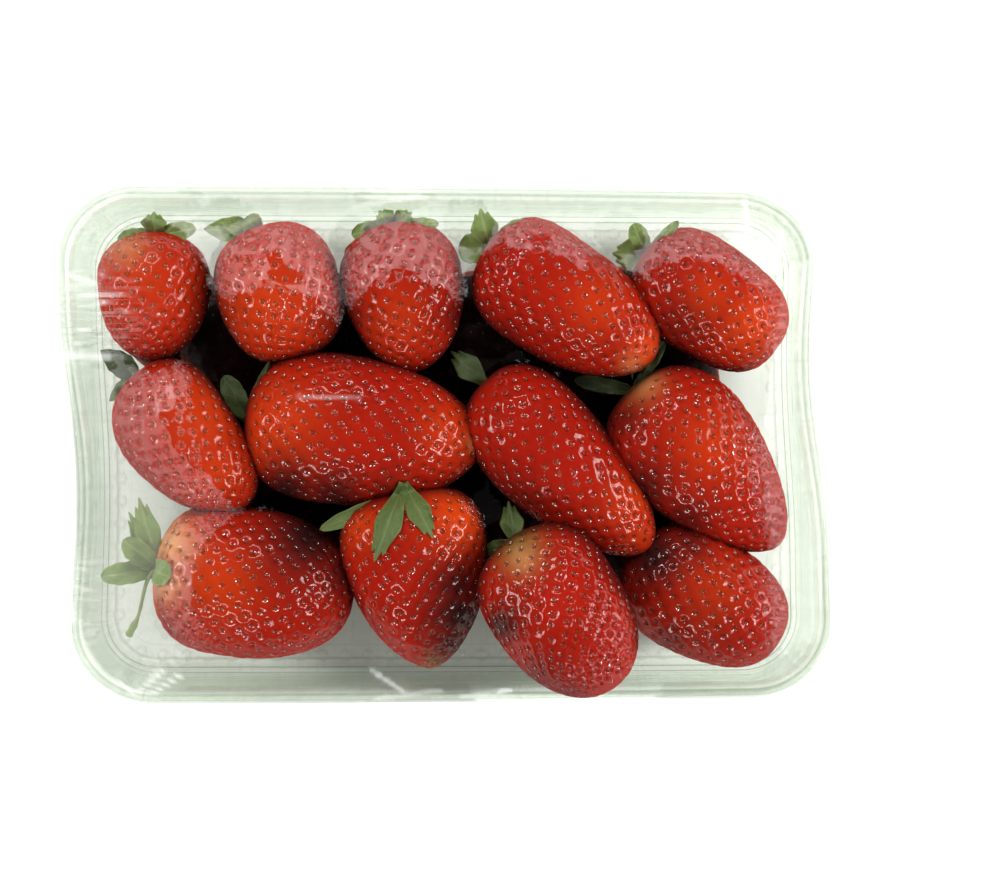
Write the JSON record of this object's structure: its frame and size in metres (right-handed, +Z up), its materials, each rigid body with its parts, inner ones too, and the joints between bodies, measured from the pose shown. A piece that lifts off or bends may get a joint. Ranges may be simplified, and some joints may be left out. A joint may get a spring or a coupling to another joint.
{
  "type": "punnet of strawberries",
  "caption": "Clear plastic punnet filled with large ripe strawberries, leafy caps on, wrapped tight in clear stretch film.",
  "frame": {"origin": "middle of the underside, on the surface the pack rests on", "axes": "+X along the pack's long side, +Y along its short side, +Z up"},
  "size_m": [0.1904, 0.1272, 0.0728],
  "materials": {
    "clear_plastic": "clear, glossy, faintly green",
    "clear_film": "clear, glossy, taut",
    "strawberry": "ripe red skin with a wet sheen"
  },
  "bodies": {
    "root": {"tray": "clear_plastic", "strawberries": "strawberry", "film": "clear_film"}
  },
  "joints": []
}
